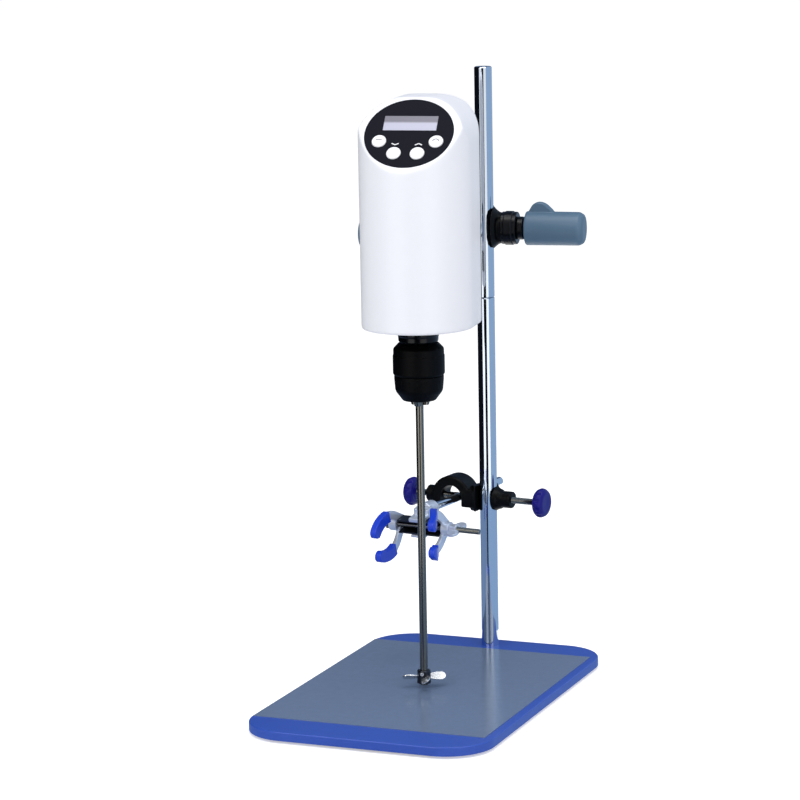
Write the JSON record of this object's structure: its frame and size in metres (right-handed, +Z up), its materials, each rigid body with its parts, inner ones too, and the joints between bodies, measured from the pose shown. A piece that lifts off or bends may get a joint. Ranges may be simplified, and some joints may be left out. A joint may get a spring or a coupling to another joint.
{
  "type": "overhead stirrer",
  "caption": "Digital overhead stirrer on a flat plate stand: slant-panel motor head with a keyless chuck and impeller shaft on a chrome rod, with a finger clamp in a boss head.",
  "frame": {"origin": "on the bench, under the middle of the base plate", "axes": "+Z up the rod, +Y towards the plate's back edge where the rod stands, +X to the right seen from the front"},
  "size_m": [0.2286, 0.4098, 0.548],
  "materials": {
    "plate_paint": "gloss enamel",
    "mat_face": "gloss anti-slip sheet",
    "rubber": "matt",
    "steel": "bright machined",
    "dark_steel": "satin",
    "chrome": "polished",
    "black_cast": "black enamel",
    "black_plastic": "satin",
    "white_shell": "satin white moulding",
    "panel_black": "semi-gloss membrane",
    "lcd": "grey display window",
    "button_white": "satin",
    "slate_grip": "satin",
    "knob_blue": "satin",
    "tip_blue": "soft vinyl",
    "zinc_cast": "cast, lightly polished",
    "aluminium": "machined",
    "board": "circuit board"
  },
  "bodies": {
    "stand": {"base_plate": "plate_paint", "base_mat": "mat_face", "base_feet": "rubber", "rod_screw": "dark_steel", "support_rod_lower": "chrome", "rod_joint_stud": "steel"},
    "upper_rod": {"support_rod_upper": "chrome"},
    "head_boss": {"head_boss_body": "black_cast", "head_rod_collar": "black_plastic", "head_bar_collar": "black_plastic"},
    "head_rod_pad": {"head_rod_pad": "steel"},
    "head_rod_handle": {"head_rod_screw": "black_plastic", "head_rod_grip": "slate_grip"},
    "head_bar_pad": {"head_bar_pad": "steel"},
    "head_bar_handle": {"head_bar_screw": "black_plastic", "head_bar_grip": "slate_grip"},
    "head": {"support_bar": "chrome", "flange_screws": "steel", "housing": "white_shell", "housing_cover": "black_plastic", "cover_screws": "steel", "control_panel": "panel_black", "lcd_window": "lcd", "control_board": "board", "mains_inlet": "black_plastic", "motor_can": "steel", "motor_bracket": "aluminium", "spindle_bearings": "steel"},
    "drive": {"spindle": "steel", "motor_rotor": "dark_steel", "chuck_body": "black_plastic", "stirring_shaft": "dark_steel", "impeller": "dark_steel", "impeller_set_screw": "steel"},
    "chuck_sleeve": {"chuck_sleeve": "black_plastic"},
    "chuck_jaw_1": {"chuck_jaw_1": "dark_steel"},
    "chuck_jaw_2": {"chuck_jaw_2": "dark_steel"},
    "chuck_jaw_3": {"chuck_jaw_3": "dark_steel"},
    "button_1": {"button_1": "button_white"},
    "button_2": {"button_2": "button_white"},
    "button_3": {"button_3": "button_white"},
    "button_4": {"button_4": "button_white"},
    "power_rocker": {"power_rocker": "black_plastic"},
    "clamp_boss": {"clamp_boss_body": "black_cast"},
    "clamp_rod_pad": {"clamp_rod_pad": "steel"},
    "clamp_rod_knob": {"clamp_rod_screw": "steel", "clamp_rod_knob": "knob_blue"},
    "clamp_bar_pad": {"clamp_bar_pad": "steel"},
    "clamp_bar_knob": {"clamp_bar_screw": "steel", "clamp_bar_knob": "knob_blue"},
    "clamp_bar": {"clamp_bar": "chrome"},
    "clamp_head": {"clamp_yoke": "zinc_cast", "clamp_channel": "dark_steel", "clamp_thread": "steel", "left_jaw": "zinc_cast", "left_jaw_tips": "tip_blue"},
    "right_jaw": {"right_jaw": "zinc_cast", "right_jaw_tips": "tip_blue"},
    "wing_nut": {"wing_nut": "steel"}
  },
  "joints": [
    {"name": "head_swing", "type": "hinge", "parent": "stand", "child": "upper_rod", "pos_m": [0, 0.1555, 0.338], "axis": [0, 0, 1], "range_deg": [-45, 45]},
    {"name": "head_height", "type": "slide", "parent": "upper_rod", "child": "head_boss", "axis": [0, 0, 1], "range_m": [-0.002, 0.12]},
    {"name": "head_reach", "type": "slide", "parent": "head_boss", "child": "head", "axis": [0.1392, -0.9903, 0], "range_m": [-0.01, 0.02]},
    {"name": "head_rod_pad_travel", "type": "slide", "parent": "head_boss", "child": "head_rod_pad", "axis": [0.9903, 0.1392, 0], "range_m": [0, 0.003]},
    {"name": "head_rod_screw_turn", "type": "hinge", "parent": "head_rod_pad", "child": "head_rod_handle", "pos_m": [0, 0.1555, 0.4015], "axis": [0.9903, 0.1392, 0], "range_deg": [0, 722]},
    {"name": "head_bar_pad_travel", "type": "slide", "parent": "head_boss", "child": "head_bar_pad", "axis": [-0.9903, -0.1392, 0], "range_m": [0, 0.003]},
    {"name": "head_bar_screw_turn", "type": "hinge", "parent": "head_bar_pad", "child": "head_bar_handle", "pos_m": [-0.02476, 0.15202, 0.395], "axis": [-0.9903, -0.1392, 0], "range_deg": [0, 722]},
    {"name": "clamp_rod_pad_travel", "type": "slide", "parent": "clamp_boss", "child": "clamp_rod_pad", "axis": [0.9921, -0.1253, 0], "range_m": [0, 0.002]},
    {"name": "clamp_rod_screw_turn", "type": "hinge", "parent": "clamp_rod_pad", "child": "clamp_rod_knob", "pos_m": [0, 0.1555, 0.15], "axis": [0.9921, -0.1253, 0], "range_deg": [0, 722]},
    {"name": "clamp_bar_pad_travel", "type": "slide", "parent": "clamp_boss", "child": "clamp_bar_pad", "axis": [-0.9921, 0.1253, 0], "range_m": [0, 0.002]},
    {"name": "clamp_bar_screw_turn", "type": "hinge", "parent": "clamp_bar_pad", "child": "clamp_bar_knob", "pos_m": [-0.02728, 0.15895, 0.1495], "axis": [-0.9921, 0.1253, 0], "range_deg": [0, 722]},
    {"name": "spindle_spin", "type": "hinge", "parent": "head", "child": "drive", "pos_m": [-0.00263, -0.00543, 0.2655], "axis": [0, 0, 1], "continuous": true},
    {"name": "chuck_sleeve_turn", "type": "hinge", "parent": "drive", "child": "chuck_sleeve", "pos_m": [-0.00263, -0.00543, 0.27], "axis": [0, 0, 1], "range_deg": [0, 150.5]},
    {"name": "chuck_jaw_1_travel", "type": "slide", "parent": "drive", "child": "chuck_jaw_1", "axis": [0.0337, -0.2396, 0.9703], "range_m": [0, 0.0024]},
    {"name": "chuck_jaw_2_travel", "type": "slide", "parent": "drive", "child": "chuck_jaw_2", "axis": [0.1906, 0.1489, 0.9703], "range_m": [0, 0.0024]},
    {"name": "chuck_jaw_3_travel", "type": "slide", "parent": "drive", "child": "chuck_jaw_3", "axis": [-0.2243, 0.0906, 0.9703], "range_m": [0, 0.0024]},
    {"name": "button_1_press", "type": "slide", "parent": "head", "child": "button_1", "axis": [-0.1034, 0.7359, -0.6691], "range_m": [0, 0.001], "stiffness_N_per_m": 400},
    {"name": "button_2_press", "type": "slide", "parent": "head", "child": "button_2", "axis": [-0.1034, 0.7359, -0.6691], "range_m": [0, 0.001], "stiffness_N_per_m": 400},
    {"name": "button_3_press", "type": "slide", "parent": "head", "child": "button_3", "axis": [-0.1034, 0.7359, -0.6691], "range_m": [0, 0.001], "stiffness_N_per_m": 400},
    {"name": "button_4_press", "type": "slide", "parent": "head", "child": "button_4", "axis": [-0.1034, 0.7359, -0.6691], "range_m": [0, 0.001], "stiffness_N_per_m": 400},
    {"name": "power_switch", "type": "hinge", "parent": "head", "child": "power_rocker", "pos_m": [0.00336, 0.04893, 0.358], "axis": [0.9903, 0.1392, 0], "range_deg": [0, 16]},
    {"name": "clamp_height", "type": "slide", "parent": "stand", "child": "clamp_boss", "axis": [0, 0, 1], "range_m": [-0.09, 0.09]},
    {"name": "clamp_reach", "type": "slide", "parent": "clamp_boss", "child": "clamp_bar", "axis": [-0.1253, -0.9921, 0], "range_m": [-0.03, 0.012]},
    {"name": "clamp_roll", "type": "hinge", "parent": "clamp_bar", "child": "clamp_head", "pos_m": [-0.03606, 0.0895, 0.1495], "axis": [-0.1253, -0.9921, 0], "range_deg": [-30, 30]},
    {"name": "right_jaw_travel", "type": "slide", "parent": "clamp_head", "child": "right_jaw", "axis": [0.9921, -0.1253, 0], "range_m": [0, 0.01]},
    {"name": "wing_nut_turn", "type": "hinge", "parent": "right_jaw", "child": "wing_nut", "pos_m": [-0.01648, 0.07694, 0.137], "axis": [0.9921, -0.1253, 0], "range_deg": [0, 3610]}
  ],
  "couplings": [
    {"joint": "head_rod_screw_turn", "follows": "head_rod_pad_travel", "rad_per_m": 4188.8},
    {"joint": "head_bar_screw_turn", "follows": "head_bar_pad_travel", "rad_per_m": 4188.8},
    {"joint": "clamp_rod_screw_turn", "follows": "clamp_rod_pad_travel", "rad_per_m": 6283.2},
    {"joint": "clamp_bar_screw_turn", "follows": "clamp_bar_pad_travel", "rad_per_m": 6283.2},
    {"joint": "chuck_sleeve_turn", "follows": "chuck_jaw_1_travel", "rad_per_m": 1090.8},
    {"joint": "chuck_jaw_2_travel", "follows": "chuck_jaw_1_travel", "ratio": 1},
    {"joint": "chuck_jaw_3_travel", "follows": "chuck_jaw_1_travel", "ratio": 1},
    {"joint": "wing_nut_turn", "follows": "right_jaw_travel", "rad_per_m": 6283.2}
  ]
}
